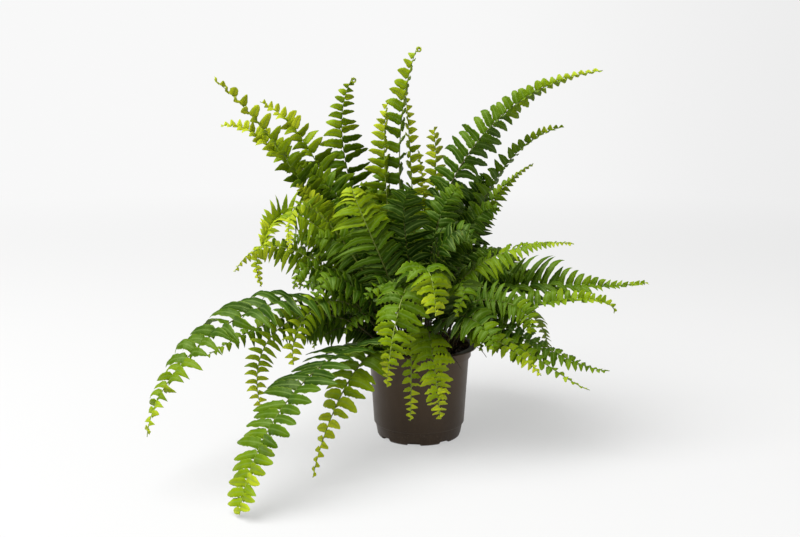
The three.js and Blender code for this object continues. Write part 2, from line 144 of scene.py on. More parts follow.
# Fronds. Each row is a frond's number and the four points that it passes through, at the root, a third,
# two thirds and the whole length (mm). Then come the longest leaflet, the turn of the blade at root
# and tip, the fold of its leaflets (degrees), how thin the tip runs out, the share of bare stalk, and
# the age from old to new. The seeds count up from one row to the next, so the rows' order matters.
FIRST_FROND_SEED = 100
TOP_FRONDS = [
    (1, (-16, 4), (-73, 14, 181), (-135, 16, 284), (-207, 10, 368), 24, -42, -42, 38, 0.7, 0.3, 0.5),
    (2, (-20, 15), (-72, 28, 174), (-138, 36, 279), (-206, 36, 320), 22, -42, -45, 35, 0.8, 0.3, 0.8),
    (3, (-12, 10), (-60, 30, 177), (-107, 46, 280), (-167, 52, 345), 29, -38, -44, 30, 0.9, 0.3, 0.6),
    (4, (-8, 18), (-46, 38, 183), (-78, 56, 283), (-71, 58, 368), 31, -50, -50, 5, 0.9, 0.3, 0.35),
    (5, (-3, 8), (-14, 20, 180), (-20.5, 30, 291), (-3, 36, 399), 28, 40, 34, -40, 0.62, 0.3, 0.45),
    (6, (4, 16), (-3, 32, 167), (-8, 44, 269), (-15, 50, 359), 17, -70, -70, -25, 0.9, 0.35, 0.75),
    (7, (-8, 0), (-24, 10, 173), (-35, 16, 266), (-33, 18, 346), 27, -15, -20, -35, 0.9, 0.3, 0.65),
    (8, (8, 22), (10, 42, 157), (17, 56, 236), (16, 60, 317), 21, 16, 16, -34, 0.4, 0.35, 0.8),
    (9, (3, 24), (4, 44, 145), (6, 50, 220), (-1, 52, 295), 12, -8, -8, 10, 1, 0.35, 0.7),
    (10, (12, 6), (16, 18, 217), (76.5, 18, 324.5), (184, 10, 377), 27, 48, 110, -20, 1.5, 0.25, 0.15),
    (11, (21, 13), (42, 30, 176), (84, 44, 269), (152, 50, 319), 19, 130, 130, -15, 0.8, 0.3, 0.35),
    (12, (16, 20), (34, 50, 163), (76, 70, 234), (125, 80, 278), 20, 40, 45, -20, 1.6, 0.3, 0.45),
    (13, (13, 15), (28, 34, 151), (47, 48, 208), (70, 54, 270), 36, 53, 53, 0, 0.8, 0.25, 0),
]
HEART_FRONDS = [
    (1, (-6, -14), (-26, -34, 159), (-48.5, -48, 218), (-67, -44, 263), 44, -89, -95, -20, 0.5, 0.2, 0.5),
    (2, (5, -20), (-4, -58, 157), (4, -98, 193), (13, -124, 154), 31, 0, 0, -10, 0.5, 0.25, 0.7),
    (3, (-5, -24), (-9, -62, 171), (-23, -104, 148), (-32, -112, 83), 31, 0, 0, -10, 1.1, 0.25, 0.7),
    (4, (5, -31), (7, -58, 127), (13, -86, 96), (19, -92, 45), 23, 0, 0, -5, 0.7, 0.2, 0.6),
    (5, (-3, -34), (-8, -60, 121), (-9, -80, 85), (-10, -82, 40), 12, 0, 0, -5, 0.6, 0.2, 0.7),
    (6, (-15, -8), (-38, -16, 158), (-75, -20, 203), (-116, -22, 205), 28, -60, -60, 0, 0.9, 0.2, 0.2),
    (7, (-13, -19), (-48, -44, 146), (-81, -66, 179), (-99, -78, 158), 24, -40, -30, 0, 0.9, 0.2, 0.2),
    (8, (10, -10), (10, -22, 163), (27, -36, 213), (52, -46, 217), 28, 60, 50, 0, 0.9, 0.2, 0.05),
    (9, (0, -6), (-10, -18, 176), (-16, -28, 235), (-8, -34, 263), 30, -164, -164, 0, 0.9, 0.2, 0.15),
    (10, (-24, 7), (-59, 6, 154), (-93, 1, 219), (-124, -6, 264), 26, -60, -60, 20, 0.9, 0.25, 0.5),
    (11, (15, -23), (23, -62, 150), (39, -90, 176), (31, -108, 149), 24, 20, 10, -10, 0.9, 0.2, 0.3),
]
LEFT_FRONDS = [
    (1, (-22, -4), (-62, -8, 168), (-117, -14, 231), (-158, -18, 202), 30, -70, -70, 20, 0.5, 0.3, 0.75),
    (2, (-18, -12), (-63, -28, 188), (-110, -48, 246), (-127, -62, 205), 12, -30, -30, 0, 0.5, 0.4, 1),
    (3, (-25, 2), (-77, 3, 158), (-139, 2, 198), (-190, 0, 173), 29, -46, -46, -35, 1.45, 0.3, 0.75),
    (4, (-31, 12), (-85, 17, 156), (-151, 22, 194), (-166, 22, 153), 12, -75, -85, 0, 0.6, 0.4, 0.75),
    (5, (-25, -12), (-71, -22, 152), (-107, -36, 183), (-125, -42, 163), 15, -60, -40, 0, 0.6, 0.3, 0.6),
    (6, (-35, -16), (-121, -64, 156), (-204, -135, 128), (-242, -185, 59), 42, 0, 0, 2, 1.1, 0.15, 0.3),
    (7, (-36, -8), (-84, -30, 138), (-150, -52, 131), (-210, -60, 100), 30, -45, -35, -25, 1.2, 0.2, 0.45),
    (8, (-31, -21), (-90, -56, 140), (-144, -78, 124), (-155, -82, 51), 18, -60, -70, 0, 0.4, 0.25, 0.6),
    (9, (-27, -25), (-74, -58, 153), (-111, -88, 144), (-121, -98, 101), 16, -45, -60, 0, 0.4, 0.25, 0.6),
    (10, (-21, -24), (-66, -91, 115), (-121.5, -170, 85), (-156, -228, 5), 40, 14, 14, 9, 0.4, 0.12, 0.2),
    (11, (-16, -32), (-50, -79, 105), (-81, -124, 65), (-100, -150, 8), 27, -10, -4, -4, 1.6, 0.2, 0.45),
]
RIGHT_FRONDS = [
    (1, (26, -8), (33, -20, 156), (84, -30, 198), (153, -32, 207), 25, 28, 28, -15, 1.5, 0.25, 0.55),
    (2, (36, 0), (56, -4, 144), (140, -8, 158), (233, -12, 164), 46, 45, 45, 35, 2.3, 0.2, 0.3),
    (3, (37, -10), (62, -32, 128), (146, -47, 152), (190, -58, 142), 17, 28, 28, 38, 1, 0.2, 0.4),
    (4, (35, -18), (65, -44, 127), (126, -60, 106), (186, -66, 86), 24, 20, 20, -8, 1.3, 0.2, 0.45),
    (5, (32, -24), (59, -58, 126), (116, -80, 100), (163, -88, 73), 19, 20, 20, 0, 2, 0.2, 0.5),
    (6, (27, -30), (44, -66, 127), (85, -92, 115), (114, -102, 91), 18, 20, 20, -5, 1.1, 0.2, 0.6),
    (7, (30, -16), (38, -50, 146), (84, -70, 155), (106, -78, 126), 21, 60, 45, 15, 0.7, 0.2, 0.5),
    (8, (20, -30), (25, -66, 139), (52, -100, 143), (67, -116, 120), 26, 30, 30, 0, 0.9, 0.2, 0.35),
    (9, (24, 10), (31, 18, 150), (54, 30, 186), (84, 34, 188), 17, 40, 40, 0, 0.9, 0.3, 0.1),
    (10, (30, 8), (45, 14, 139), (85, 20, 165), (134, 26, 157), 25, 50, 50, 0, 0.9, 0.2, 0.1),
]

# Fronds of the far side, in three tiers
BACK_HEADINGS = (67, 45, 32, 108, 73, 58, 117, 124, 86, 98, 141, 133)
BACK_ROOT_REACH = (36, 31)
BACK_TIERS = (
    {"reach": (48, 92, 118), "height": (178, 232, 238), "leaflet": 30, "age": 0.2},
    {"reach": (62, 124, 172), "height": (150, 176, 132), "leaflet": 30, "age": 0.35},
    {"reach": (70, 136, 176), "height": (124, 118, 58), "leaflet": 26, "age": 0.5},
)
BACK_FOLD = 10
BACK_THINNING = 0.9
BACK_BARE = 0.2

# Short dark old fronds inside the plant
INNER_FRONDS = [
    (1, (-24, -6), (-46, -14, 124), (-70, -22, 138), (-98, -30, 122), 22, -20, -10, 0, 0.8, 0.15, 0.12),
    (2, (-28, 4), (-52, 4, 122), (-76, 6, 133), (-100, 6, 112), 22, -50, -40, 0, 0.8, 0.15, 0.1),
    (3, (-16, -14), (-34, -34, 126), (-54, -50, 138), (-76, -62, 122), 20, -10, 0, 0, 0.8, 0.15, 0.15),
    (4, (-22, 12), (-48, 26, 140), (-78, 36, 166), (-112, 42, 160), 24, -60, -60, 0, 0.8, 0.15, 0.15),
    (5, (-10, 20), (-22, 40, 150), (-44, 60, 196), (-70, 76, 214), 26, -80, -80, 0, 0.8, 0.2, 0.2),
    (6, (-14, 0), (-50, 12, 190), (-84, 22, 248), (-124, 26, 280), 26, -86, -86, 0, 0.7, 0.3, 0.3),
    (7, (6, -2), (14, -10, 150), (30, -20, 196), (56, -28, 206), 24, 60, 60, 0, 0.8, 0.2, 0.05),
    (8, (16, -6), (40, -20, 140), (66, -34, 158), (96, -44, 142), 20, 25, 20, 0, 0.8, 0.2, 0.2),
    (9, (20, 4), (48, 4, 140), (80, 0, 172), (116, -6, 166), 24, 50, 50, 0, 0.8, 0.2, 0.15),
    (10, (8, 14), (24, 24, 160), (50, 30, 214), (84, 30, 236), 26, 75, 75, 0, 0.8, 0.2, 0.05),
    (11, (-4, -16), (-10, -40, 140), (-14, -62, 160), (-20, -84, 142), 18, 0, 0, 0, 0.8, 0.2, 0.15),
    (12, (10, -18), (26, -44, 130), (44, -66, 132), (60, -82, 110), 18, 10, 10, 0, 0.8, 0.15, 0.25),
    (13, (-2, 6), (-20, 14, 170), (-34, 22, 226), (-60, 28, 262), 26, -80, -80, 0, 0.8, 0.2, 0.25),
    (14, (12, 0), (10, 4, 170), (22, 8, 230), (44, 8, 262), 24, 60, 60, 0, 0.8, 0.2, 0.1),
    (15, (-4, -12), (-16, -40, 148), (-32, -60, 172), (-54, -74, 160), 20, -30, -30, 0, 0.8, 0.2, 0.15),
    (16, (4, -14), (6, -44, 152), (4, -70, 176), (-2, -88, 166), 18, 0, 0, 0, 0.8, 0.2, 0.15),
    (17, (22, -14), (40, -34, 122), (60, -50, 126), (84, -64, 106), 18, 20, 20, 0, 0.8, 0.15, 0.25),
    (19, (-22, 2), (-62, 6, 160), (-100, 10, 202), (-134, 12, 204), 22, -60, -60, 0, 0.8, 0.2, 0.15),
    (21, (-28, 2), (-62, -6, 142), (-90, -14, 166), (-117, -20, 160), 22, -50, -50, 0, 0.7, 0.15, 0.15),
    (20, (-30, -12), (-58, -26, 124), (-90, -36, 127), (-120, -44, 114), 26, -45, -35, -25, 0.5, 0.1, 0.2),
    (18, (24, -8), (54, -22, 128), (84, -32, 138), (112, -42, 118), 22, 25, 20, 0, 0.8, 0.2, 0.25),
]

# Moss that hangs over the rim at the left
MOSS_MIDDLE = (-49, -13, 103)
MOSS_REACH = (13, 11, 10)
MOSS_COUNT = 620
MOSS_LENGTHS = (2.5, 6)
MOSS_SEED = 11

# Wiry runners, each as its start, the point that it bends towards, and its end
RUNNERS = (
    ((-30, -14, 90), (-58, -34, 120), (-66, -52, 101)), ((-24, -20, 90), (-72, -48, 142), (-96, -60, 118)),
    ((26, -16, 90), (52, -40, 118), (66, -52, 96)), ((-8, -30, 90), (-16, -60, 118), (-30, -74, 92)),
    ((18, -26, 90), (26, -56, 112), (40, -66, 88)), ((10, 26, 90), (20, 60, 120), (26, 76, 92)),
)
RUNNER_STATIONS = 24
RUNNER_RADIUS = (0.42, 0.3)

# How a frond's leaflets look, unless its own row in LOOKS says otherwise
USUAL_LOOK = dict(
    pitch=9,  # distance between leaflets of one side
    tip_pitch=0.6,  # share of that at the frond's tip
    breadth=9.5,  # the most breadth
    stout=1.1,  # how broad the short ones are
    blunt=0.45,  # from pointed to round
    wave=0.07,  # how uneven the edge is
    arch=0.06,  # how far the middle stands out of the blade, by their length
    curl=0.07,  # how far the tip bends down out of it
    droop=0.1,  # how far the middle is higher than the ends
    twist=15,  # spread of the twist from end to end, in degrees
    tilt=(12, 12),  # turn about their own length on the left and on the right
    spread=16,  # spread of that turn
    lean=(6, 22),  # lean forward at the frond's root and tip
    right_lean=0,  # more lean on the right
    tone=0,  # how much younger, or older below 0, all of the frond looks; partly painted light on lit fronds and painted shade on shaded ones
    root_shade=0.25,  # how much darker its root end looks: partly older leaflets, partly painted shade from the foliage above
    tip_gain=0.35,  # how much younger its tip looks
    coil=0,  # turns of its rolled-up tip
)
LOOKS = {
    "top_1": dict(pitch=17, tip_pitch=0.8, stout=2.2, tone=-0.1, root_shade=0.35, tip_gain=0.8),
    "top_2": dict(pitch=11, stout=1.3, tone=-0.35, root_shade=0.35, tip_gain=0.8),
    "top_3": dict(pitch=12.5, stout=1.2, tone=-0.18, root_shade=0.35, tip_gain=0.75),
    "top_4": dict(pitch=12.5, stout=1.25, blunt=0.6, arch=0.12, tilt=(0, 35), lean=(0, 10), tone=0.12,
                  tip_gain=0.25, coil=1.3),
    "top_5": dict(pitch=16, breadth=11, stout=1.7, blunt=0.5, tip_gain=0.4, coil=1.4),
    "top_6": dict(pitch=12, stout=1.3),
    "top_7": dict(pitch=12, breadth=10, stout=1.3),
    "top_8": dict(pitch=12.5, breadth=7, stout=1.2, blunt=0.35, lean=(5, 20), tone=-0.1),
    "top_9": dict(pitch=9.5, breadth=7, stout=1.2),
    "top_10": dict(pitch=9.5, tip_pitch=0.75, breadth=8.8, stout=1.8, blunt=0.6, wave=0.1, curl=0.1,
                   droop=0.16, lean=(2, 16), tone=0.06, tip_gain=0.72),
    "top_11": dict(pitch=10, stout=1.4),
    "top_12": dict(pitch=8.5, breadth=7, stout=1.4, blunt=0.2, lean=(25, 25)),
    "top_13": dict(tip_gain=0.15),
    "heart_1": dict(pitch=7.5, breadth=7, blunt=0.1, wave=0.2, droop=0.12, twist=20, tilt=(-18, -18),
                    lean=(2, 8), right_lean=-8, tone=-0.2, root_shade=0.6, tip_gain=0.55),
    "heart_2": dict(pitch=9.5, breadth=12, blunt=0.6, wave=0.3, twist=28, tilt=(-18, -18), spread=28,
                    lean=(8, 18), tone=-0.42, tip_gain=0.62),
    "heart_3": dict(breadth=11, blunt=0.6, wave=0.3, twist=26, tilt=(-22, -22), spread=26, lean=(8, 18),
                    tone=-0.22, tip_gain=0.52),
    "heart_4": dict(pitch=8.5, breadth=10.5, blunt=0.6, wave=0.3, twist=26, tilt=(-18, -18), spread=24,
                    lean=(8, 25), tone=0.08),
    "heart_5": dict(wave=0.25, twist=26, tilt=(-20, -20), spread=24, tone=0.05),
    "heart_8": dict(tone=-0.05, tip_gain=0.12),
    "heart_9": dict(tone=-0.15, tip_gain=0.18),
    "heart_10": dict(pitch=8, breadth=8, tone=0.08),
    "left_1": dict(pitch=6.5, breadth=6.2, blunt=0.1, lean=(2, -32), tone=-0.22),
    "left_2": dict(pitch=7, breadth=5, stout=1.3, blunt=0.9, tone=-0.3),
    "left_3": dict(pitch=9.5, breadth=6.2, tone=-0.05),
    "left_4": dict(breadth=7, stout=1.4, blunt=0.8, tone=-0.15),
    "left_5": dict(pitch=8, breadth=6.5, tone=-0.3),
    "left_6": dict(pitch=15, tip_pitch=0.5, breadth=11, blunt=0.4, arch=0.08, tilt=(-22, -22), spread=20,
                   lean=(10, 0), right_lean=16, tone=-0.07, tip_gain=0.62),
    "left_7": dict(pitch=8.5, tip_pitch=0.9, breadth=7.5, blunt=0.3, tone=-0.15, root_shade=0.4,
                   tip_gain=0.4),
    "left_8": dict(pitch=8, tip_pitch=0.9, breadth=5.5, lean=(5, 12)),
    "left_9": dict(pitch=8, tip_pitch=0.9, breadth=5.5, lean=(5, 12)),
    "left_10": dict(pitch=13, blunt=0.85, arch=0.03, curl=0.03, droop=0.03, tilt=(-20, -12), lean=(6, 12),
                    tone=-0.15, tip_gain=0.8),
    "left_11": dict(pitch=12, tip_pitch=0.75, breadth=10.5, stout=1.5, blunt=0.8, tilt=(-12, -12),
                    lean=(8, 14), tone=0.16, tip_gain=0.6),
    "right_1": dict(pitch=6.8, breadth=6.2, wave=0.12, tone=-0.02),
    "right_2": dict(pitch=9.5, breadth=8, blunt=0.25, droop=0.14, lean=(34, 42), tone=0.06),
    "right_3": dict(pitch=8, breadth=6.5, blunt=0.8),
    "right_4": dict(wave=0.12, tone=-0.14),
    "right_5": dict(pitch=9.5, tip_pitch=0.9, blunt=0.8, tone=-0.08),
    "right_6": dict(wave=0.12),
    "right_7": dict(pitch=6.5, breadth=5, lean=(12, 20), tone=-0.22),
    "right_8": dict(tone=-0.18),
}


def lerp(a, b, t):
    return a + (b - a) * t


def smoothstep(x, low, high):
    t = np.clip((x - low) / (high - low), 0, 1)
    return t * t * (3 - 2 * t)


def unit(vectors):
    return vectors / np.linalg.norm(vectors, axis=-1, keepdims=True)


def turned(vectors, axes, angles):
    """Vectors turned about unit axes by angles."""
    cos, sin = np.cos(angles)[..., None], np.sin(angles)[..., None]
    along = np.sum(vectors * axes, -1, keepdims=True)
    return vectors * cos + np.cross(axes, vectors) * sin + axes * along * (1 - cos)


def round_angles(count):
    return np.arange(count) / count * 2 * math.pi


def ring_round(place, across, up, radius, ring):
    """Rings of points round places, by their two crosswise directions."""
    turn = round_angles(ring)
    radius = np.asarray(radius)[..., None, None]
    spokes = across[..., None, :] * np.cos(turn)[:, None] + up[..., None, :] * np.sin(turn)[:, None]
    return place[..., None, :] + spokes * radius


def rods(start, ahead, side, steps, length, radius, ring, flatness=1, bow=0):
    """Rings of short rods with a radius at each step of their length, bowed to their side."""
    steps = np.asarray(steps)
    line = start[:, None] + ahead[:, None] * (steps * length)[..., None]
    line = line + side[:, None] * (bow * steps ** 2 * length)[..., None]
    return ring_round(line, side[:, None], np.cross(ahead, side)[:, None] * flatness, radius, ring)


class Tubes:
    """A mesh of closed tubes. Each tube is stations of rings, and has its own cell of the bake map."""

    CELL_MARGIN = 0.04
    SIDES_SPAN = (0.06, 0.94)
    END_SIZE = (0.4, 0.02)
    END_PLACES = (0.03, 0.97)
    SHARP_ANGLE = 75

    def __init__(self, columns):
        self.columns = columns
        self.cells = 0
        self.count = 0
        self.points = []
        self.faces = []
        self.corners = []
        self.materials = []
        self.under = []
        self.values = {}

    def add(self, points, material=0, flip=False, under=(), **values):
        """points is tubes x stations x ring x 3. values are point attributes that broadcast to it."""
        tubes, stations, ring, _ = points.shape
        size = tubes * stations * ring
        index = self.count + np.arange(size).reshape(tubes, stations, ring)
        ahead = np.roll(index, -1, 2)
        quads = np.stack([index[:, :-1], ahead[:, :-1], ahead[:, 1:], index[:, 1:]], -1)
        self.lay_out(tubes, stations, ring, flip)
        quads = quads.reshape(-1, 4)
        ends = np.concatenate([index[:, 0, ::-1], index[:, -1]])
        if flip:
            quads, ends = quads[:, ::-1], ends[:, ::-1]
        self.faces += quads.tolist() + ends.tolist()
        self.materials += [material] * (len(quads) + len(ends))
        is_under = np.zeros((tubes, stations - 1, ring))
        is_under[:, :, list(under)] = 1
        self.under += is_under.ravel().tolist() + [0] * len(ends)
        self.points.append(points.reshape(-1, 3))
        for name, value in values.items():
            wide = np.broadcast_to(value, (tubes, stations, ring)).ravel()
            self.values.setdefault(name, []).append((self.count, wide))
        self.count += size

    def lay_out(self, tubes, stations, ring, flip):
        """Lays each tube out flat in its cell, with its two ends in the cell's margins."""
        v = lerp(*self.SIDES_SPAN, np.arange(stations) / (stations - 1))
        v, u = np.meshgrid(v, np.arange(ring + 1) / ring, indexing="ij")
        grid = np.stack([u, v], -1)
        square = np.stack([grid[:-1, :-1], grid[:-1, 1:], grid[1:, 1:], grid[1:, :-1]], 2).reshape(-1, 4, 2)
        turn = round_angles(ring)
        circle = np.stack([np.cos(turn), np.sin(turn)], -1) * self.END_SIZE
        start, end = circle[::-1] + (0.5, self.END_PLACES[0]), circle + (0.5, self.END_PLACES[1])
        if flip:
            square, start, end = square[:, ::-1], start[::-1], end[::-1]
        cells = self.cells + np.arange(tubes)
        self.cells += tubes
        corner = np.stack([cells % self.columns, cells // self.columns], -1)[:, None] + self.CELL_MARGIN
        for flat in (square, start, end):
            inside = (1 - 2 * self.CELL_MARGIN) * flat.reshape(-1, 2)
            self.corners.append((corner + inside).reshape(-1, 2))

    def piece(self, name, materials):
        mesh = bpy.data.meshes.new(name)
        mesh.from_pydata(np.concatenate(self.points) * MM, [], self.faces)
        mesh.polygons.foreach_set("material_index", self.materials)
        for key, runs in self.values.items():
            whole = np.zeros(self.count, np.float32)
            for start, values in runs:
                whole[start:start + len(values)] = values
            mesh.attributes.new(key, "FLOAT", "POINT").data.foreach_set("value", whole)
        mesh.attributes.new("under", "FLOAT", "FACE").data.foreach_set("value", self.under)
        rows = math.ceil(self.cells / self.columns)
        corners = np.concatenate(self.corners) / (self.columns, rows)
        mesh.uv_layers.new(name="OFBake").data.foreach_set("uv", corners.ravel())
        mesh.shade_smooth()
        mesh.set_sharp_from_angle(angle=math.radians(self.SHARP_ANGLE))
        for material in materials:
            mesh.materials.append(material)
        piece = bpy.data.objects.new(name, mesh)
        bpy.context.scene.collection.objects.link(piece)
        return piece


class Rib:
    """The cubic curve through a frond's four points, with its directions, in mm."""

    def __init__(self, row):
        root, third, two_thirds, tip, _, self.root_roll, self.tip_roll, *_ = row
        knots = np.array([(*root, SOIL_HEIGHT), third, two_thirds, tip], float)
        # The handles that lead the curve through its inner points at a third and two thirds
        handles = np.array([(-5, 18, -9, 2), (2, -9, 18, -5)]) / 6 @ knots
        self.knots = np.array([knots[0], *handles, knots[3]])
        outward = unit(np.append(knots[3, :2] - knots[0, :2], 0))
        self.side = np.cross((0, 0, 1), outward)
        self.steps = np.linspace(0, 1, RIB_SAMPLES)
        gaps = np.linalg.norm(np.diff(self.place(self.steps), axis=0), axis=1)
        self.lengths = np.append(0, np.cumsum(gaps))
        self.length = self.lengths[-1]

    def place(self, t):
        t = np.asarray(t, float)[..., None]
        a, b, c, d = self.knots
        return (1 - t) ** 3 * a + 3 * (1 - t) ** 2 * t * b + 3 * (1 - t) * t ** 2 * c + t ** 3 * d

    def frame(self, t):
        """Place, ahead, sideways and upward directions at t."""
        t = np.asarray(t, float)
        wide = t[..., None]
        a, b, c, d = self.knots
        ahead = unit((1 - wide) ** 2 * (b - a) + 2 * (1 - wide) * wide * (c - b) + wide ** 2 * (d - c))
        across = unit(self.side - ahead * (ahead @ self.side)[..., None])
        across = turned(across, ahead, np.radians(lerp(self.root_roll, self.tip_roll, t)))
        return self.place(t), ahead, across, np.cross(ahead, across)

    def at_length(self, lengths):
        return np.interp(lengths, self.lengths, self.steps)


def width_share(s, thinning):
    """Share of the longest leaflet's length at s along the leafy part."""
    rise = lerp(FIRST_WIDTH_SHARE, 1, smoothstep(s, 0, WIDEST_FROM))
    to_tip = np.clip((s - WIDEST_TO) / (1 - WIDEST_TO), 0, 1)
    return rise * lerp(TIP_WIDTH_SHARE, 1, (1 - to_tip) ** thinning)


def leaflet_steps(rib, bare, look):
    """Where leaflets stand along the rib, closer towards its tip."""
    start = np.interp(bare, rib.steps, rib.lengths)
    lengths = []
    place = start
    while place < rib.length - TIP_GAP:
        lengths.append(place)
        s = (place - start) / (rib.length - start)
        place += look["pitch"] / 2 * lerp(1, look["tip_pitch"], smoothstep(s, CLOSER_FROM, 1))
    return rib.at_length(np.array(lengths))


def leaflet_edges(x, breadth, look, rng):
    """Leaflets' outline at x along them, and their edges on the side of the root and of the tip."""
    count = len(breadth)
    blunt = np.clip(look["blunt"] + rng.normal(0, 0.12, (count, 1)), 0, 1)
    narrowing = np.clip((x - TAPER_FROM) / (1 - TAPER_FROM), 0, 1)
    taper = (1 - narrowing ** lerp(1.25, 3.0, blunt)) ** lerp(0.95, 0.55, blunt)
    outline = np.maximum(lerp(0.5, 1, smoothstep(x, 0, 0.07)) * taper, 0.03)
    bulge = np.exp(-((x - 0.05) / 0.055) ** 2)
    edges = []
    for side, lobe in enumerate(LOBES):
        wave = look["wave"] * rng.uniform(-1, 1, (count, len(x))) * smoothstep(x, 0.03, 0.2)
        zigzag = look["wave"] * 0.6 * (-1) ** (np.arange(len(x)) + side)
        edges.append(0.5 * breadth * outline * (1 + bulge * lobe + wave + zigzag))
    return outline, edges


def leaflet_points(base, out, forward, normal, length, breadth, look, rng, stations):
    """Rings of leaflets: out runs to the tip, forward to the side nearer the frond's tip."""
    column = (len(base), 1)
    base, out, forward, normal = (v[:, None] for v in (base, out, forward, normal))
    length, breadth = length[:, None], breadth[:, None]
    inner = stations - len(BASE_STEPS) - len(TIP_STEPS)
    x = np.concatenate([BASE_STEPS, np.linspace(*BLADE_SPAN, inner), TIP_STEPS])
    outline, edges = leaflet_edges(x, breadth, look, rng)
    hump = 4 * x * (1 - x)
    arch = length * look["arch"] * rng.uniform(0.3, 1.7, column) * hump
    curl = length * look["curl"] * rng.uniform(0.2, 1.8, column) * x ** 3
    droop = length * look["droop"] * rng.uniform(0.3, 1.7, column) * hump
    fold = rng.uniform(0.0, 0.35, column)
    twist = np.radians(rng.normal(0, look["twist"], column)) * x
    middle = base + out * (length * x)[..., None] + normal * (arch - curl)[..., None]
    middle[..., 2] += droop
    across, above = turned(forward, out, twist), turned(normal, out, twist)
    rings = []
    for c in LEAFLET_RING:
        side = int(c > 0)
        edge, size = edges[side], abs(c)
        wave = RIPPLE_LENGTH + (rng.uniform(-RIPPLE_SPREAD, RIPPLE_SPREAD) if size == 1 else 0)
        ripple = breadth * RIPPLE * np.sin(2 * math.pi * (length * x / wave + 0.4 * side))
        height = edge * (fold * size + 0.2 * math.sin(math.pi * size) - 0.22 * size ** 3)
        height = height + ripple * size ** 2 * outline - 0.1 * (size == 0)
        rings.append(middle + across * (c * edge)[..., None] + above * height[..., None])
    thickness = THICKNESS * lerp(1, 0.4, x) * outline ** 0.5
    rings.append(middle - above * thickness[..., None])
    return np.stack(rings, 2)


def add_leaflets(tubes, rib, t, hands, length, look, age, fold, rng):
    """Leaflets at t along a rib, on the left where hands is 1 and on the right where it is -1."""
    place, ahead, across, up = rib.frame(t)
    count = len(t)
    s = np.linspace(0, 1, count)
    lean = lerp(*look["lean"], s) + np.where(hands < 0, look["right_lean"], 0)
    lean = np.radians(lean + rng.uniform(-8, 8, count))
    fold = np.radians(fold + rng.uniform(-7, 7, count))
    out = across * (hands * np.cos(lean) * np.cos(fold))[:, None]
    out = out + up * (np.cos(lean) * np.sin(fold) - LEAFLET_DIP)[:, None]
    out = unit(out + ahead * np.sin(lean)[:, None])
    forward = unit(ahead - out * np.sum(ahead * out, -1, keepdims=True))
    normal = np.cross(out, forward) * -hands[:, None]
    tilt = np.where(hands > 0, *look["tilt"])
    tilt = np.radians(rng.normal(tilt, look["spread"]))
    forward = turned(forward, out, -hands * tilt)
    normal = turned(normal, out, -hands * tilt)
    breadth = np.minimum(look["breadth"], 0.24 * length + 3.6 * look["stout"])
    breadth = breadth * rng.uniform(0.9, 1.1, count)
    # Painted shade in part: root_shade darkens the leaflets towards the root, where the foliage above shades
    # them
    ages = age + look["tip_gain"] * s ** 1.6 - look["root_shade"] * (1 - s) ** 2
    # Tone is partly the frond's age and partly painted light and shade for how lit the frond is
    ages = ages + look["tone"] + rng.normal(0, 0.06, count)
    for hand in (1, -1):
        for short, far, stations in LEAFLET_GRADES:
            pick = (hands == hand) & (length >= short) & (length < far)
            if not pick.any():
                continue
            picked = (v[pick] for v in (place, out, forward, normal, length, breadth))
            points = leaflet_points(*picked, look, rng, stations)
            reach = length[pick][:, None, None]
            x = np.linalg.norm(points[:, :, 2] - points[:, :1, 2], axis=-1)[..., None] / reach
            tubes.add(points, material=LEAF, flip=hand > 0, under=UNDER_SIDES,
                      age=ages[pick][:, None, None] + 0.12 * x ** 2,
                      across=np.append(LEAFLET_RING, 0), along=x, reach=reach)


def add_rib(tubes, rib, age, tip_gain):
    """The stalk and rib, from below the peat to the tip."""
    t = np.linspace(0, 1, max(14, round(rib.length / RIB_STEP)))
    place, ahead, across, up = rib.frame(t)
    buried = place[0] - ahead[0] * ROOT_DEPTH
    place = np.concatenate([buried[None], place])
    across, up = np.concatenate([across[:1], across]), np.concatenate([up[:1], up])
    t = np.append(0, t)
    points = ring_round(place, across, up, lerp(*RIB_RADIUS, t ** 0.8), RIB_RING)[None]
    t = t[None, :, None]
    tubes.add(points, material=STALK, age=age + tip_gain * t ** 1.6, along=t)


def add_coil(tubes, rib, turns, rng, age):
    """The rolled-up end of a young frond, with its leaflets still as knobs."""
    place, ahead, *_ = (v[0] for v in rib.frame(np.array([1.0])))
    across = unit(np.array((0, -1, 0)) - ahead * (ahead @ (0, -1, 0)))
    up = np.cross(ahead, across)
    share = np.linspace(0, 1, COIL_STATIONS)
    angle = share * turns * 2 * math.pi
    radius = lerp(*COIL_RADIUS, share)
    centre = place + up * COIL_RADIUS[0]
    spot = centre - up * (radius * np.cos(angle))[:, None] + ahead * (radius * np.sin(angle))[:, None]
    radial = unit(spot - centre)
    rings = ring_round(spot, across, radial, lerp(*COIL_THICKNESS, share), RIB_RING)[None]
    tubes.add(rings, material=STALK, flip=True, age=age + 0.4, along=1.0)
    knobs = np.arange(2, COIL_STATIONS - 4, 2)
    out = unit(radial[knobs] * 0.7 + across * rng.choice((-1, 1), len(knobs))[:, None])
    rings = rods(spot[knobs], out, unit(np.cross(out, across)), np.linspace(0, 1, 5), KNOB_LENGTH,
                 (0.35, 0.75, 0.8, 0.55, 0.12), 6)
    tubes.add(rings, material=LEAF, flip=True, age=age + 0.5, across=0.5, along=0.5, reach=8.0)


def add_scales(tubes, rib, rng, bare):
    """Thin brown scales that lie along the lower stalk."""
    column = (SCALE_COUNT, 1)
    t = rng.uniform(0.01, max(bare, 0.15), SCALE_COUNT) ** 1.2
    place, ahead, across, up = rib.frame(t)
    turn = rng.uniform(0, 2 * math.pi, column)
    out = across * np.cos(turn) + up * np.sin(turn)
    grow = unit(ahead + out * rng.uniform(0.25, 0.7, column))
    rings = rods(place + out * 0.9, grow, unit(np.cross(grow, out)), (0, 0.5, 1),
                 rng.uniform(*SCALE_LENGTHS, column), (0.28, 0.4, 0.05), 4, flatness=0.3)
    tubes.add(rings, material=SCALE, along=0.0)


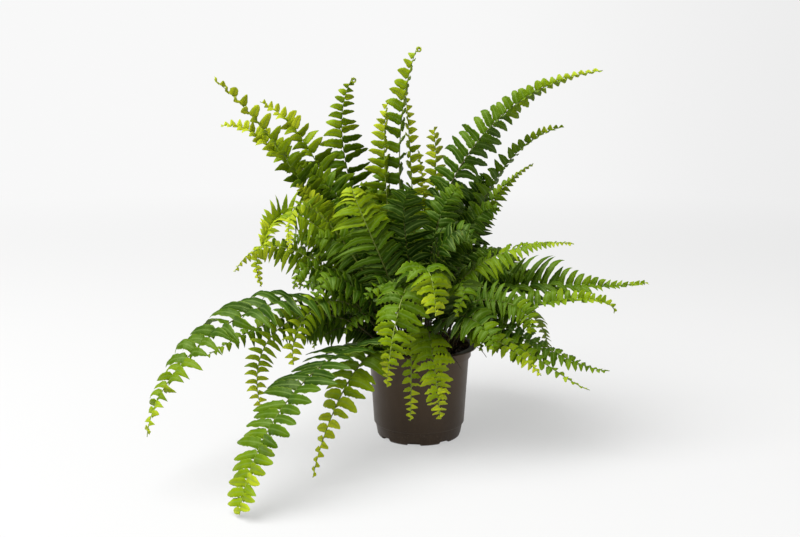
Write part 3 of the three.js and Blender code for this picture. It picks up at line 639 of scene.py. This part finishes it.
def frond_piece(name, row, seed, materials):
    *_, leaflet, _, _, fold, thinning, bare, age = row
    look = USUAL_LOOK | LOOKS.get(name, {})
    rng = np.random.default_rng(seed)
    rib = Rib(row)
    t = leaflet_steps(rib, bare, look)
    hands = np.where(np.arange(len(t)) % 2 == 0, 1, -1)
    s = (t - bare) / (1 - bare)
    length = leaflet * width_share(s, thinning) * rng.uniform(0.9, 1.1, len(t))
    tubes = Tubes(columns=10)
    add_leaflets(tubes, rib, t, hands, length, look, age, fold, rng)
    add_rib(tubes, rib, age, look["tip_gain"])
    add_scales(tubes, rib, rng, bare)
    if look["coil"]:
        add_coil(tubes, rib, look["coil"], rng, age)
    piece = tubes.piece(f"fern_{name}", materials)
    if not name.startswith("inner"):
        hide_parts(f"frond_{name}")
    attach(piece, "root")


def back_row(degrees, i):
    """A frond of the far side as a row, by its heading."""
    tier = BACK_TIERS[i % len(BACK_TIERS)]
    heading = math.radians(degrees)
    way = np.array((math.cos(heading), math.sin(heading)))
    points = [(*(way * reach), height) for reach, height in zip(tier["reach"], tier["height"])]
    root = tuple(way * BACK_ROOT_REACH[i % len(BACK_ROOT_REACH)])
    blade = (tier["leaflet"], 0, 0, BACK_FOLD, BACK_THINNING, BACK_BARE, tier["age"])
    return (i + 1, root, *points, *blade)


def moss_piece(material):
    """A tuft of fine curved threads."""
    rng = np.random.default_rng(MOSS_SEED)
    spread, column = (MOSS_COUNT, 3), (MOSS_COUNT, 1)
    way = unit(rng.normal(0, 1, spread))
    start = MOSS_MIDDLE + way * MOSS_REACH * rng.uniform(0.2, 0.95, column)
    grow = unit(way + rng.normal(0, 0.5, spread))
    side = unit(np.cross(grow, rng.normal(0, 1, spread)))
    tubes = Tubes(columns=24)
    tubes.add(rods(start, grow, side, np.linspace(0, 1, 4), rng.uniform(*MOSS_LENGTHS, column),
                   (0.5, 0.62, 0.45, 0.08), 4, flatness=0.4, bow=0.35), along=0.0)
    piece = tubes.piece("moss", [material])
    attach(piece, "root")


def runner_piece(material):
    """Hair-thin wiry runners that arch out of the crown."""
    tubes = Tubes(columns=4)
    t = np.linspace(0, 1, RUNNER_STATIONS)[:, None]
    radius = np.linspace(*RUNNER_RADIUS, RUNNER_STATIONS)
    for start, top, end in RUNNERS:
        line = (1 - t) ** 2 * start + 2 * (1 - t) * t * top + t ** 2 * end
        ahead = unit(np.gradient(line, axis=0))
        side = unit(np.cross(ahead, (0.3, 0.2, 1)))
        tubes.add(ring_round(line, side, np.cross(ahead, side), radius, 6)[None],
                  flip=True, along=0.25, age=0.2)
    piece = tubes.piece("runners", [material])
    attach(piece, "root")


class Nodes:
    """Short calls for the node tree of a material or of the world."""

    def __init__(self, owner):
        owner.use_nodes = True
        self.owner = owner
        self.tree = owner.node_tree
        self.tree.nodes.clear()

    def add(self, kind, settings=None, **inputs):
        """A node with its inputs linked or set. _ stands for a space, and input_3 for the fourth input."""
        node = self.tree.nodes.new("ShaderNode" + kind)
        for key, value in (settings or {}).items():
            setattr(node, key, value)
        for key, value in inputs.items():
            name = int(key[6:]) if key.startswith("input_") else key.replace("_", " ")
            if isinstance(value, bpy.types.NodeSocket):
                self.tree.links.new(value, node.inputs[name])
            else:
                node.inputs[name].default_value = value
        return node

    def place(self):
        return self.add("TexCoord").outputs["Object"]

    def attribute(self, name):
        return self.add("Attribute", {"attribute_type": "GEOMETRY", "attribute_name": name}).outputs["Fac"]

    def maths(self, operation, *values):
        inputs = {f"input_{i}": value for i, value in enumerate(values)}
        return self.add("Math", {"operation": operation}, **inputs).outputs[0]

    def scaled(self, value, factor, shift=0.0):
        return self.maths("MULTIPLY_ADD", value, factor, shift)

    def noise(self, scale, detail, roughness, vector=None):
        """Noise in the object's own coordinates, or by another vector."""
        node = self.add("TexNoise", Scale=scale, Detail=detail, Roughness=roughness,
                        Vector=vector or self.place())
        return node.outputs["Fac"]

    def span(self, value, low, high, to_low=0.0, to_high=1.0):
        """value from low..high to to_low..to_high, clamped and eased."""
        node = self.add("MapRange", {"interpolation_type": "SMOOTHSTEP"}, Value=value,
                        From_Min=low, From_Max=high, To_Min=to_low, To_Max=to_high)
        return node.outputs["Result"]

    def mix(self, factor, first, second, blend="MIX"):
        settings = {"data_type": "RGBA", "blend_type": blend, "clamp_factor": True}
        return self.add("Mix", settings, input_0=factor, input_6=first, input_7=second).outputs[2]

    def mix_shader(self, factor, first, second):
        return self.add("MixShader", input_0=factor, input_1=first, input_2=second).outputs[0]

    def ramp(self, factor, stops):
        node = self.add("ValToRGB", Fac=factor)
        elements = node.color_ramp.elements
        while len(elements) < len(stops):
            elements.new(0.5)
        for element, (place, colour) in zip(elements, stops):
            element.position = place
            element.color = (*colour, 1)
        return node.outputs["Color"]

    def bump(self, strength, distance, height):
        return self.add("Bump", Strength=strength, Distance=distance, Height=height).outputs["Normal"]

    def skin(self, colour, rough, bump, **more):
        return self.add("BsdfPrincipled", Base_Color=colour, Roughness=rough, Normal=bump, **more).outputs[0]

    def finish(self, shader, output="OutputMaterial"):
        self.add(output, Surface=shader)
        return self.owner


def material_nodes(name):
    return Nodes(bpy.data.materials.new(name))


def leaf_material():
    """Satin leaflets: old deep green to young yellow-green, a pale midrib and fine side veins."""
    m = material_nodes("fern_leaf")
    blotches = m.noise(70, 3, 0.55)
    age = m.maths("ADD", m.attribute("age"), m.scaled(blotches, 0.3, -0.15))
    green = m.ramp(age, (
        (0, (0.01, 0.034, 0.0006)),
        (0.25, (0.032, 0.086, 0.0008)),
        (0.5, (0.096, 0.18, 0.001)),
        (0.75, (0.245, 0.35, 0.0025)),
        (1, (0.54, 0.61, 0.02)),
    ))
    sideways = m.maths("ABSOLUTE", m.attribute("across"))
    out = m.maths("MULTIPLY", m.attribute("along"), m.attribute("reach"))
    vein_turns = m.maths("SUBTRACT", m.scaled(out, 3.3), m.scaled(sideways, 5.5))
    veins = m.scaled(m.maths("SINE", vein_turns), 0.5, 0.5)
    rib = m.span(sideways, 0.05, 0.22, 1, 0)
    colour = m.mix(m.scaled(veins, 0.14), green, (0.5, 0.6, 0.5, 1), "MULTIPLY")
    colour = m.mix(m.scaled(rib, 0.4), colour, (0.2, 0.3, 0.07, 1))
    edge = m.span(sideways, 0.78, 1)
    colour = m.mix(m.scaled(edge, 0.42), colour, (0.28, 0.38, 0.03, 1))
    fine = m.noise(900, 2, 0.6)
    colour = m.mix(m.scaled(fine, 0.5, -0.12), colour, (0.72, 0.78, 0.7, 1), "MULTIPLY")
    worn = m.span(m.noise(160, 2, 0.6), 0.72, 0.8)
    colour = m.mix(m.scaled(worn, 0.5), colour, (0.16, 0.1, 0.03, 1))
    under = m.attribute("under")
    colour = m.mix(m.scaled(under, 0.3), colour, (0.17, 0.24, 0.08, 1))
    bump = m.bump(0.35, 0.0003, m.maths("ADD", m.scaled(veins, 0.5), m.scaled(fine, 0.5)))
    gloss = m.maths("ADD", m.span(blotches, 0.3, 0.7, 0.36, 0.5), m.scaled(under, 0.2))
    skin = m.skin(colour, gloss, bump, Specular_IOR_Level=m.span(age, 0, 0.7, 0.42, 0.22),
                  Specular_Tint=(0.75, 1, 0.3, 1))
    lit = m.mix(1, colour, (1, 0.92, 0.45, 1), "MULTIPLY")
    lit = m.add("Gamma", Color=lit, Gamma=0.8).outputs["Color"]
    glow = m.add("BsdfTranslucent", Color=lit, Normal=bump).outputs[0]
    return m.finish(m.mix_shader(0.24, skin, glow))


def stalk_material():
    """Stalks: dark brown at the root, olive above and green towards a young tip."""
    m = material_nodes("fern_stalk")
    mottle = m.noise(260, 3, 0.6)
    along = m.maths("MULTIPLY_ADD", mottle, 0.16, m.maths("SUBTRACT", m.attribute("along"), 0.08))
    brown = m.ramp(along, (
        (0, (0.014, 0.008, 0.004)),
        (0.15, (0.03, 0.02, 0.008)),
        (0.4, (0.058, 0.056, 0.013)),
        (1, (0.095, 0.135, 0.02)),
    ))
    young = m.span(m.attribute("age"), 0.4, 1.1, 0, 0.75)
    colour = m.mix(young, brown, (0.26, 0.34, 0.05, 1))
    roughness = m.span(mottle, 0.3, 0.7, 0.42, 0.6)
    return m.finish(m.skin(colour, roughness, m.bump(0.4, 0.0003, mottle), Specular_IOR_Level=0.3))


def dry_material(name, scale, detail, stops, roughness):
    """Dull stuff, mottled from one colour to another."""
    m = material_nodes(name)
    mottle = m.noise(scale, detail, 0.6)
    return m.finish(m.skin(m.ramp(mottle, stops), roughness, m.bump(0.3, 0.0002, mottle)))


def scale_material():
    """Papery rust-brown scales."""
    stops = ((0.3, (0.1, 0.045, 0.015)), (0.7, (0.26, 0.14, 0.05)))
    return dry_material("fern_scale", 500, 2, stops, 0.7)


def moss_material():
    """Dark moss with brown dead threads."""
    stops = ((0.35, (0.01, 0.008, 0.004)), (0.5, (0.022, 0.03, 0.006)), (0.7, (0.06, 0.075, 0.014)))
    return dry_material("moss", 300, 3, stops, 0.8)


def pot_material():
    """Satin taupe plastic with faint flow marks, fine grain and a little dust low down, with painted shade
    towards the bottom and painted light towards the rim.
    """
    m = material_nodes("pot_plastic")
    stretched = m.add("Mapping", Vector=m.place(), Scale=(1, 1, 0.15)).outputs["Vector"]
    flow = m.noise(60, 3, 0.55, stretched)
    cloud = m.noise(28, 4, 0.6)
    colour = m.ramp(flow, ((0.3, (0.05, 0.029, 0.014)), (0.7, (0.066, 0.04, 0.02))))
    colour = m.mix(m.span(cloud, 0.45, 0.75, 0, 0.25), colour, (0.082, 0.058, 0.041, 1))
    height = m.add("SeparateXYZ", Vector=m.place()).outputs["Z"]
    # Painted shade and light: darker towards the bottom and lighter towards the rim, as from light above
    colour = m.mix(1, colour, m.span(height, 0, 0.09, 0.68, 1.15), "MULTIPLY")
    specks = m.span(m.noise(700, 2, 0.7), 0.6, 0.72)
    dust = m.maths("MULTIPLY", specks, m.span(height, 0, 0.03, 0.35, 0.06))
    colour = m.mix(dust, colour, (0.2, 0.165, 0.135, 1))
    grain = m.noise(1800, 2, 0.6)
    bump = m.bump(0.12, 0.0005, m.maths("ADD", m.scaled(grain, 0.4), m.scaled(flow, 0.6)))
    roughness = m.maths("ADD", m.span(cloud, 0.3, 0.7, 0.36, 0.46), m.scaled(dust, 0.5))
    return m.finish(m.skin(colour, roughness, bump, Specular_IOR_Level=0.22))


def peat_material():
    """Moist peat: near black with brown fibres and pale grains."""
    m = material_nodes("peat")
    lumps = m.noise(220, 5, 0.7)
    colour = m.ramp(lumps, (
        (0.3, (0.01, 0.007, 0.005)),
        (0.55, (0.03, 0.019, 0.011)),
        (0.75, (0.085, 0.052, 0.028)),
    ))
    grains = m.span(m.noise(800, 1, 0.5), 0.68, 0.74)
    colour = m.mix(m.scaled(grains, 0.5), colour, (0.2, 0.15, 0.09, 1))
    return m.finish(m.skin(colour, 0.92, m.bump(0.9, 0.0015, lumps)))


def lathe_mesh(name, profile, sides):
    """A closed solid turned about +Z from (radius, height) points in mm that start and end on the axis."""
    inner = profile[1:-1]
    points = [(0, 0, profile[0][1]), (0, 0, profile[-1][1])]
    points += [(r * math.cos(a), r * math.sin(a), h) for r, h in inner for a in round_angles(sides)]

    def at(ring, side):
        return 2 + ring * sides + side % sides

    faces = [(0, at(0, i + 1), at(0, i)) for i in range(sides)]
    for ring in range(len(inner) - 1):
        faces += [(at(ring, i), at(ring, i + 1), at(ring + 1, i + 1), at(ring + 1, i)) for i in range(sides)]
    last = len(inner) - 1
    faces += [(1, at(last, i), at(last, i + 1)) for i in range(sides)]
    mesh = bpy.data.meshes.new(name)
    mesh.from_pydata(np.array(points) * MM, [], faces)
    return mesh


def notch_cutters():
    """One mesh of trapezoid prisms round the edge of the base."""
    outline = [(-NOTCH_WIDTH / 2, -1), (NOTCH_WIDTH / 2, -1),
               (NOTCH_TOP_WIDTH / 2, NOTCH_HEIGHT), (-NOTCH_TOP_WIDTH / 2, NOTCH_HEIGHT)]
    points, faces = [], []
    for k in range(NOTCH_COUNT):
        angle = math.radians(FIRST_NOTCH_ANGLE + 360 / NOTCH_COUNT * k)
        out = np.array((math.cos(angle), math.sin(angle), 0))
        side = np.array((-math.sin(angle), math.cos(angle), 0))
        first = len(points)
        for reach in (BASE_RADIUS - NOTCH_DEPTH, BASE_RADIUS + NOTCH_DEPTH):
            points += [(out * reach + side * w + (0, 0, h)) * MM for w, h in outline]
        faces += [[first + i for i in face] for face in NOTCH_FACES]
    mesh = bpy.data.meshes.new("notches")
    mesh.from_pydata(points, [], faces)
    return mesh


def apply_modifiers(piece):
    """Leaves the piece with its finished mesh and no modifier."""
    shape = piece.evaluated_get(bpy.context.evaluated_depsgraph_get())
    finished = bpy.data.meshes.new_from_object(shape)
    piece.modifiers.clear()
    piece.data = finished


def pot_piece(material):
    pot = bpy.data.objects.new("pot_shell", lathe_mesh("pot_shell", POT_PROFILE, POT_SIDES))
    cutter = bpy.data.objects.new("notches", notch_cutters())
    for piece in (pot, cutter):
        bpy.context.scene.collection.objects.link(piece)
    cut = pot.modifiers.new("notches", "BOOLEAN")
    cut.operation = "DIFFERENCE"
    cut.solver = "EXACT"
    cut.object = cutter
    bevel = pot.modifiers.new("soft_edges", "BEVEL")
    bevel.width = EDGE_BEVEL * MM
    bevel.segments = 2
    bevel.limit_method = "ANGLE"
    bevel.angle_limit = math.radians(50)
    apply_modifiers(pot)
    bpy.data.objects.remove(cutter)
    pot.data.shade_smooth()
    pot.data.set_sharp_from_angle(angle=math.radians(38))
    pot.data.materials.clear()
    pot.data.materials.append(material)
    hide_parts("pot")
    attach(pot, "root")


def mound(reach):
    """How far the peat rises at a reach from the pot's middle, in mm."""
    return MOUND_HEIGHT * np.exp(-(reach / MOUND_REACH) ** 2)


def peat_piece(material, rng):
    """A lumpy surface in the pot's mouth on a plain plug."""
    foot = SOIL_HEIGHT - SOIL_DEPTH
    profile = [(0, foot), (SOIL_FOOT_RADIUS, foot)]
    profile += [(SOIL_RADIUS * (1 - i / SOIL_RINGS) ** 0.8, SOIL_HEIGHT) for i in range(SOIL_RINGS)]
    profile.append((0, SOIL_HEIGHT))
    mesh = lathe_mesh("peat_surface", profile, SOIL_SIDES)
    co = np.zeros(len(mesh.vertices) * 3)
    mesh.vertices.foreach_get("co", co)
    co = co.reshape(-1, 3)
    reach = np.hypot(co[:, 0], co[:, 1]) / MM
    top = (co[:, 2] > (SOIL_HEIGHT - 1) * MM) & (reach < SOIL_RADIUS - 0.5)
    waves = sum(
        np.sin(co @ rng.normal(0, 300 * 1.6 ** octave, 3) + rng.uniform(0, 6)) / 1.5 ** octave
        for octave in range(6)
    )
    co[top, 2] += (0.55 * waves[top] + mound(reach[top]) + rng.normal(0, 0.35, top.sum())) * MM
    mesh.vertices.foreach_set("co", co.ravel())
    mesh.shade_smooth()
    mesh.materials.append(material)
    peat = bpy.data.objects.new("peat_surface", mesh)
    bpy.context.scene.collection.objects.link(peat)
    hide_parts("soil")
    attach(peat, "root")


def crumbs_piece(material, rng):
    """Loose crumbs that lie on the peat."""
    angle = rng.uniform(0, 2 * math.pi, CRUMB_COUNT)
    far = (SOIL_RADIUS - 2.5) * np.sqrt(rng.uniform(0.02, 1, CRUMB_COUNT))
    size = rng.uniform(*CRUMB_SIZES, CRUMB_COUNT)
    height = SOIL_HEIGHT + 0.4 + 0.3 * size + mound(far)
    middle = np.stack([far * np.cos(angle), far * np.sin(angle), height], -1)
    way = unit(rng.normal(0, 1, (CRUMB_COUNT, 3)))
    side = unit(np.cross(way, rng.normal(0, 1, (CRUMB_COUNT, 3))))
    size = size[:, None]
    radius = np.array((0.25, 0.8, 1, 0.75, 0.2)) * size * rng.uniform(0.55, 1.0, (CRUMB_COUNT, 5))
    crumbs = Tubes(columns=24)
    crumbs.add(rods(middle, way, side, (-1, -0.6, 0, 0.6, 1), size, radius, 6))
    piece = crumbs.piece("peat_crumbs", [material])
    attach(piece, "root")


def grey(value):
    return (value, value, value, 1)


def backdrop_colour(m, sideways):
    """Near white, with painted shade that greys it a little to the right, by how far to the side a spot lies
    for its distance.
    """
    return m.mix(m.span(sideways, *BACKDROP_TURN), *map(grey, BACKDROP_GREYS))


def floor_piece():
    """A pale floor that passes into the same pale backdrop far behind."""
    bpy.ops.mesh.primitive_plane_add(size=FLOOR_SIZE)
    floor = bpy.context.object
    floor.name = "floor"
    m = material_nodes("floor_paper")
    far = m.add("VectorMath", {"operation": "LENGTH"}, input_0=m.place()).outputs["Value"]
    below_camera = (*CAMERA_PLACE[:2], 0)
    way = m.add("VectorMath", {"operation": "SUBTRACT"}, input_0=m.place(), input_1=below_camera)
    way = m.add("VectorMath", {"operation": "NORMALIZE"}, input_0=way.outputs["Vector"])
    sideways = m.add("SeparateXYZ", Vector=way.outputs["Vector"]).outputs["X"]
    paper = m.add("BsdfDiffuse", Color=grey(FLOOR_ALBEDO)).outputs[0]
    own_light = m.add("Emission", Color=grey(FLOOR_GLOW)).outputs[0]
    paper = m.add("AddShader", input_0=paper, input_1=own_light).outputs[0]
    glow = m.add("Emission", Color=backdrop_colour(m, sideways)).outputs[0]
    floor.data.materials.append(m.finish(m.mix_shader(m.span(far, *FLOOR_FADE), paper, glow)))


def backdrop():
    """The backdrop as the camera sees it, and the even light that comes from it."""
    world = bpy.data.worlds.new("studio")
    bpy.context.scene.world = world
    m = Nodes(world)
    sideways = m.add("SeparateXYZ", Vector=m.add("TexCoord").outputs["Generated"]).outputs["X"]
    seen = m.add("Background", Color=backdrop_colour(m, sideways)).outputs[0]
    light = m.add("Background", Color=(1, 1, 0.97, 1), Strength=AMBIENT).outputs[0]
    direct = m.add("LightPath").outputs["Is Camera Ray"]
    m.finish(m.mix_shader(direct, light, seen), "OutputWorld")


def key_light():
    light = bpy.data.lights.new("key", "AREA")
    light.shape = "DISK"
    light.size = KEY_SIZE
    light.energy = KEY_POWER
    lamp = bpy.data.objects.new("key", light)
    lamp.location = KEY_PLACE
    lamp.rotation_euler = (Vector(KEY_TARGET) - Vector(KEY_PLACE)).to_track_quat("-Z", "Y").to_euler()
    lamp.visible_camera = False
    bpy.context.scene.collection.objects.link(lamp)


def camera():
    data = bpy.data.cameras.new("camera")
    data.lens = FOCAL_LENGTH
    data.sensor_width = SENSOR_WIDTH
    data.clip_start = 0.01
    data.clip_end = 50
    eye = bpy.data.objects.new("camera", data)
    eye.location = CAMERA_PLACE
    eye.rotation_euler = (math.radians(90 - CAMERA_DIP), 0, 0)
    bpy.context.scene.collection.objects.link(eye)
    bpy.context.scene.camera = eye


camera()
floor_piece()
backdrop()
key_light()
bpy.context.scene.view_settings.view_transform = "Standard"

pot_piece(pot_material())
peat = peat_material()
peat_rng = np.random.default_rng(PEAT_SEED)
peat_piece(peat, peat_rng)
crumbs_piece(peat, peat_rng)
frond_materials = [leaf_material(), stalk_material(), scale_material()]
groups = {
    "top": TOP_FRONDS, "heart": HEART_FRONDS, "left": LEFT_FRONDS, "right": RIGHT_FRONDS,
    "back": [back_row(degrees, i) for i, degrees in enumerate(BACK_HEADINGS)], "inner": INNER_FRONDS,
}
fronds = [(f"{kind}_{number}", row) for kind, group in groups.items() for number, *row in group]
for seed, (name, row) in enumerate(fronds, FIRST_FROND_SEED):
    frond_piece(name, row, seed, frond_materials)
moss_piece(moss_material())
runner_piece(frond_materials[STALK])
